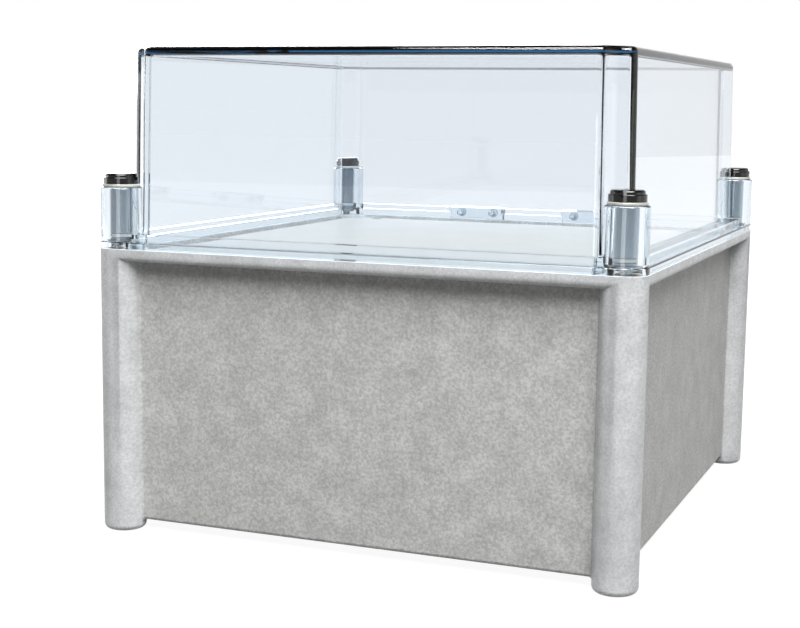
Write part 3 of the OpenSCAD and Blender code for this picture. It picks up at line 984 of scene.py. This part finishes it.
@dataclass(frozen=True)
class Studio:
    """White sweep, soft lamps and the camera.

    The room is white for what is seen, dark on the side where the camera stands and dim overhead, so that
    the edges of the clear cover show. Light that has already met a matt surface takes the plain ambient level
    instead.
    """

    lamps: tuple[Softbox, ...] = (
        Softbox("key_softbox", 31.0, 54.0, 1.6, (1.4, 1.2), 45.0),
        Softbox("rear_softbox", 215.0, 20.0, 1.7, (1.4, 1.0), 28.0),
        Softbox("overhead_reflector", 14.0, 50.0, 1.5, (1.5, 1.1), 60.0, only_in_gloss=True),
        Softbox("front_strip", 5.0, -1.0, 1.2, (0.38, 0.3), 1.1, only_in_gloss=True),
        Softbox("left_strip", -84.0, -1.0, 1.2, (0.5, 0.35), 1.0, only_in_gloss=True),
        Softbox("right_strip", 78.0, -1.0, 1.2, (0.5, 0.35), 0.4, only_in_gloss=True),
    )
    ambient: float = 0.04
    white: float = 1.07
    ceiling: float = 0.16
    ceiling_fade: tuple[float, float] = (0.22, 0.6)
    dark_side: float = 0.22
    dark_side_fade: tuple[float, float] = (-0.5, 0.0)
    gloss_share: float = 0.75
    paper: float = 0.16
    floor_half: float = 8.0
    near_glow: float = 0.94
    glow_fade: tuple[float, float] = (0.4, 1.1)
    dim_floor: float = 0.55
    dim_floor_fade: tuple[float, float] = (-1.0, -0.3)
    camera_at: tuple[float, float, float] = (0.2824, -0.7870, 0.2179)
    azimuth_deg: float = 21.873
    pitch_deg: float = 7.934
    roll_rad: float = 0.0123
    lens_mm: float = 67.47
    sensor_mm: float = 36.0
    view_end: float = 50.0

    def world(self) -> None:
        """Light the room: white round the horizon for what is seen, and a plain soft level for what lights.

        The height of a ray's direction, from 0 at the horizon to 1 overhead, fades the white that glass and
        gloss show into the dim ceiling of a studio, and its Y fades it into the dark side where the camera
        stands.
        """
        world = bpy.data.worlds.new("studio")
        bpy.context.scene.world = world
        world.use_nodes = True
        tree = world.node_tree
        tree.nodes.clear()
        towards = add_node(tree, "ShaderNodeTexCoord").outputs["Generated"]
        way = add_node(tree, "ShaderNodeSeparateXYZ", Vector=towards)
        height = add_node(
            tree,
            "ShaderNodeMapRange",
            Value=way.outputs["Z"],
            From_Min=self.ceiling_fade[0],
            From_Max=self.ceiling_fade[1],
            To_Min=self.white,
            To_Max=self.ceiling,
        )
        behind = add_node(
            tree,
            "ShaderNodeMapRange",
            Value=way.outputs["Y"],
            From_Min=self.dark_side_fade[0],
            From_Max=self.dark_side_fade[1],
            To_Min=self.dark_side,
            To_Max=1.0,
        )
        room = add_node(
            tree,
            "ShaderNodeMath",
            {"operation": "MULTIPLY"},
            i0=height.outputs["Result"],
            i1=behind.outputs["Result"],
        )
        path = add_node(tree, "ShaderNodeLightPath")
        gloss = add_node(
            tree,
            "ShaderNodeMath",
            {"operation": "MULTIPLY"},
            i0=path.outputs["Is Glossy Ray"],
            i1=self.gloss_share,
        )
        looked = add_node(
            tree,
            "ShaderNodeMath",
            {"operation": "MULTIPLY"},
            i0=path.outputs["Is Transmission Ray"],
            i1=self.unbounced(tree, path),
        )
        seen = add_node(
            tree, "ShaderNodeMath", {"operation": "MAXIMUM"}, i0=gloss.outputs[0], i1=looked.outputs[0]
        )
        level = add_node(tree, "ShaderNodeMix", i0=seen.outputs[0], i2=self.ambient, i3=room.outputs[0])
        final = add_node(tree, "ShaderNodeMix", i0=path.outputs["Is Camera Ray"], i2=level.outputs[0], i3=1.0)
        background = add_node(
            tree, "ShaderNodeBackground", Color=(1.0, 1.0, 1.0, 1.0), Strength=final.outputs[0]
        )
        output = add_node(tree, "ShaderNodeOutputWorld")
        tree.links.new(background.outputs[0], output.inputs["Surface"])

    def unbounced(self, tree: bpy.types.NodeTree, path: bpy.types.Node) -> bpy.types.NodeSocket:
        """Give 1 for a ray that has met no matt surface on its way, and 0 for any other.

        Args:
            tree: Node tree that takes the node.
            path: Light Path node.

        Returns:
            The socket with the test's result.
        """
        none = add_node(
            tree, "ShaderNodeMath", {"operation": "LESS_THAN"}, i0=path.outputs["Diffuse Depth"], i1=0.5
        )
        return none.outputs[0]

    def floor(self, bottom: float) -> None:
        """Lay a white paper sweep under the feet, which shows white where nothing shades it.

        What is seen directly, in gloss or through the cover gets a glow on top of the lit paper. The glow
        rises with the distance from the object, so the far end of the sweep runs into the white of the room.
        Gloss and the cover show less of it towards the camera's side, where the room is dark.

        Args:
            bottom: Height of the floor.
        """
        side = np.array([-self.floor_half, self.floor_half])
        x, y = np.meshgrid(side, side, indexing="ij")
        points = np.stack([x, y, np.full_like(x, bottom)], -1)
        sheet = grid_object("floor", points, wrapped=False, smooth=False)
        material, tree, surface = new_material("white_paper_sweep")
        point = object_point(tree)
        away = add_node(tree, "ShaderNodeVectorMath", {"operation": "LENGTH"}, i0=point)
        rise = add_node(
            tree,
            "ShaderNodeMapRange",
            Value=away.outputs["Value"],
            From_Min=self.glow_fade[0],
            From_Max=self.glow_fade[1],
            To_Min=self.near_glow,
            To_Max=self.white,
        )
        place = add_node(tree, "ShaderNodeSeparateXYZ", Vector=point)
        front = add_node(
            tree,
            "ShaderNodeMapRange",
            Value=place.outputs["Y"],
            From_Min=self.dim_floor_fade[0],
            From_Max=self.dim_floor_fade[1],
            To_Min=self.dim_floor,
            To_Max=1.0,
        )
        path = add_node(tree, "ShaderNodeLightPath")
        bent = add_node(
            tree,
            "ShaderNodeMath",
            {"operation": "MAXIMUM"},
            i0=path.outputs["Is Glossy Ray"],
            i1=path.outputs["Is Transmission Ray"],
        )
        through = add_node(
            tree, "ShaderNodeMath", {"operation": "MULTIPLY"}, i0=bent.outputs[0], i1=front.outputs["Result"]
        )
        direct = self.unbounced(tree, path)
        looked = add_node(tree, "ShaderNodeMath", {"operation": "MULTIPLY"}, i0=through.outputs[0], i1=direct)
        shown = add_node(
            tree,
            "ShaderNodeMath",
            {"operation": "MAXIMUM"},
            i0=path.outputs["Is Camera Ray"],
            i1=looked.outputs[0],
        )
        glow = add_node(
            tree, "ShaderNodeMath", {"operation": "MULTIPLY"}, i0=shown.outputs[0], i1=rise.outputs["Result"]
        )
        lit = add_node(tree, "ShaderNodeBsdfDiffuse", Color=(self.paper, self.paper, self.paper, 1.0))
        lift = add_node(tree, "ShaderNodeEmission", Strength=glow.outputs[0])
        both = add_node(tree, "ShaderNodeAddShader", i0=lit.outputs[0], i1=lift.outputs[0])
        tree.links.new(both.outputs[0], surface)
        sheet.data.materials.append(material)
        sheet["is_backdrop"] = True

    def camera(self) -> None:
        """Set the camera up in front of the right-hand corner, a little above the flange."""
        azimuth, pitch = math.radians(self.azimuth_deg), math.radians(self.pitch_deg)
        forward = Vector(
            (-math.sin(azimuth) * math.cos(pitch), math.cos(azimuth) * math.cos(pitch), -math.sin(pitch))
        )
        level = Vector((math.cos(azimuth), math.sin(azimuth), 0.0))
        upright = level.cross(forward)
        right = math.cos(self.roll_rad) * level + math.sin(self.roll_rad) * upright
        up = math.cos(self.roll_rad) * upright - math.sin(self.roll_rad) * level
        turn = Matrix((right, up, -forward)).transposed().to_4x4()
        data = bpy.data.cameras.new("camera")
        data.lens = self.lens_mm
        data.sensor_width = self.sensor_mm
        data.clip_end = self.view_end
        holder = bpy.data.objects.new("camera", data)
        holder.matrix_world = Matrix.Translation(Vector(self.camera_at)) @ turn
        bpy.context.scene.collection.objects.link(holder)
        bpy.context.scene.camera = holder

    def build(self, low: Vector, high: Vector) -> None:
        """Build the whole studio round the object's box.

        Args:
            low: Lowest corner of the object.
            high: Highest corner of the object.
        """
        self.world()
        self.floor(low.z)
        for lamp in self.lamps:
            lamp.build((low + high) / 2)
        self.camera()
        bpy.context.scene.view_settings.view_transform = "Standard"


def main() -> None:
    """Load the solids, dress every sub-assembly and build the studio."""
    logging.basicConfig(level=logging.INFO, format="%(name)s: %(message)s")
    _frame.update(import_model())
    solid_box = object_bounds()
    Housing().build()
    Cover().build()
    for corner in CORNERS:
        TurnScrew(corner).build()
    for side in ("left", "right"):
        Hinge(side).build()
    HingeFixings().build()
    low, high = (Vector(corner) for corner in solid_box)
    Studio().build(low, high)


if __name__ == "__main__":
    main()
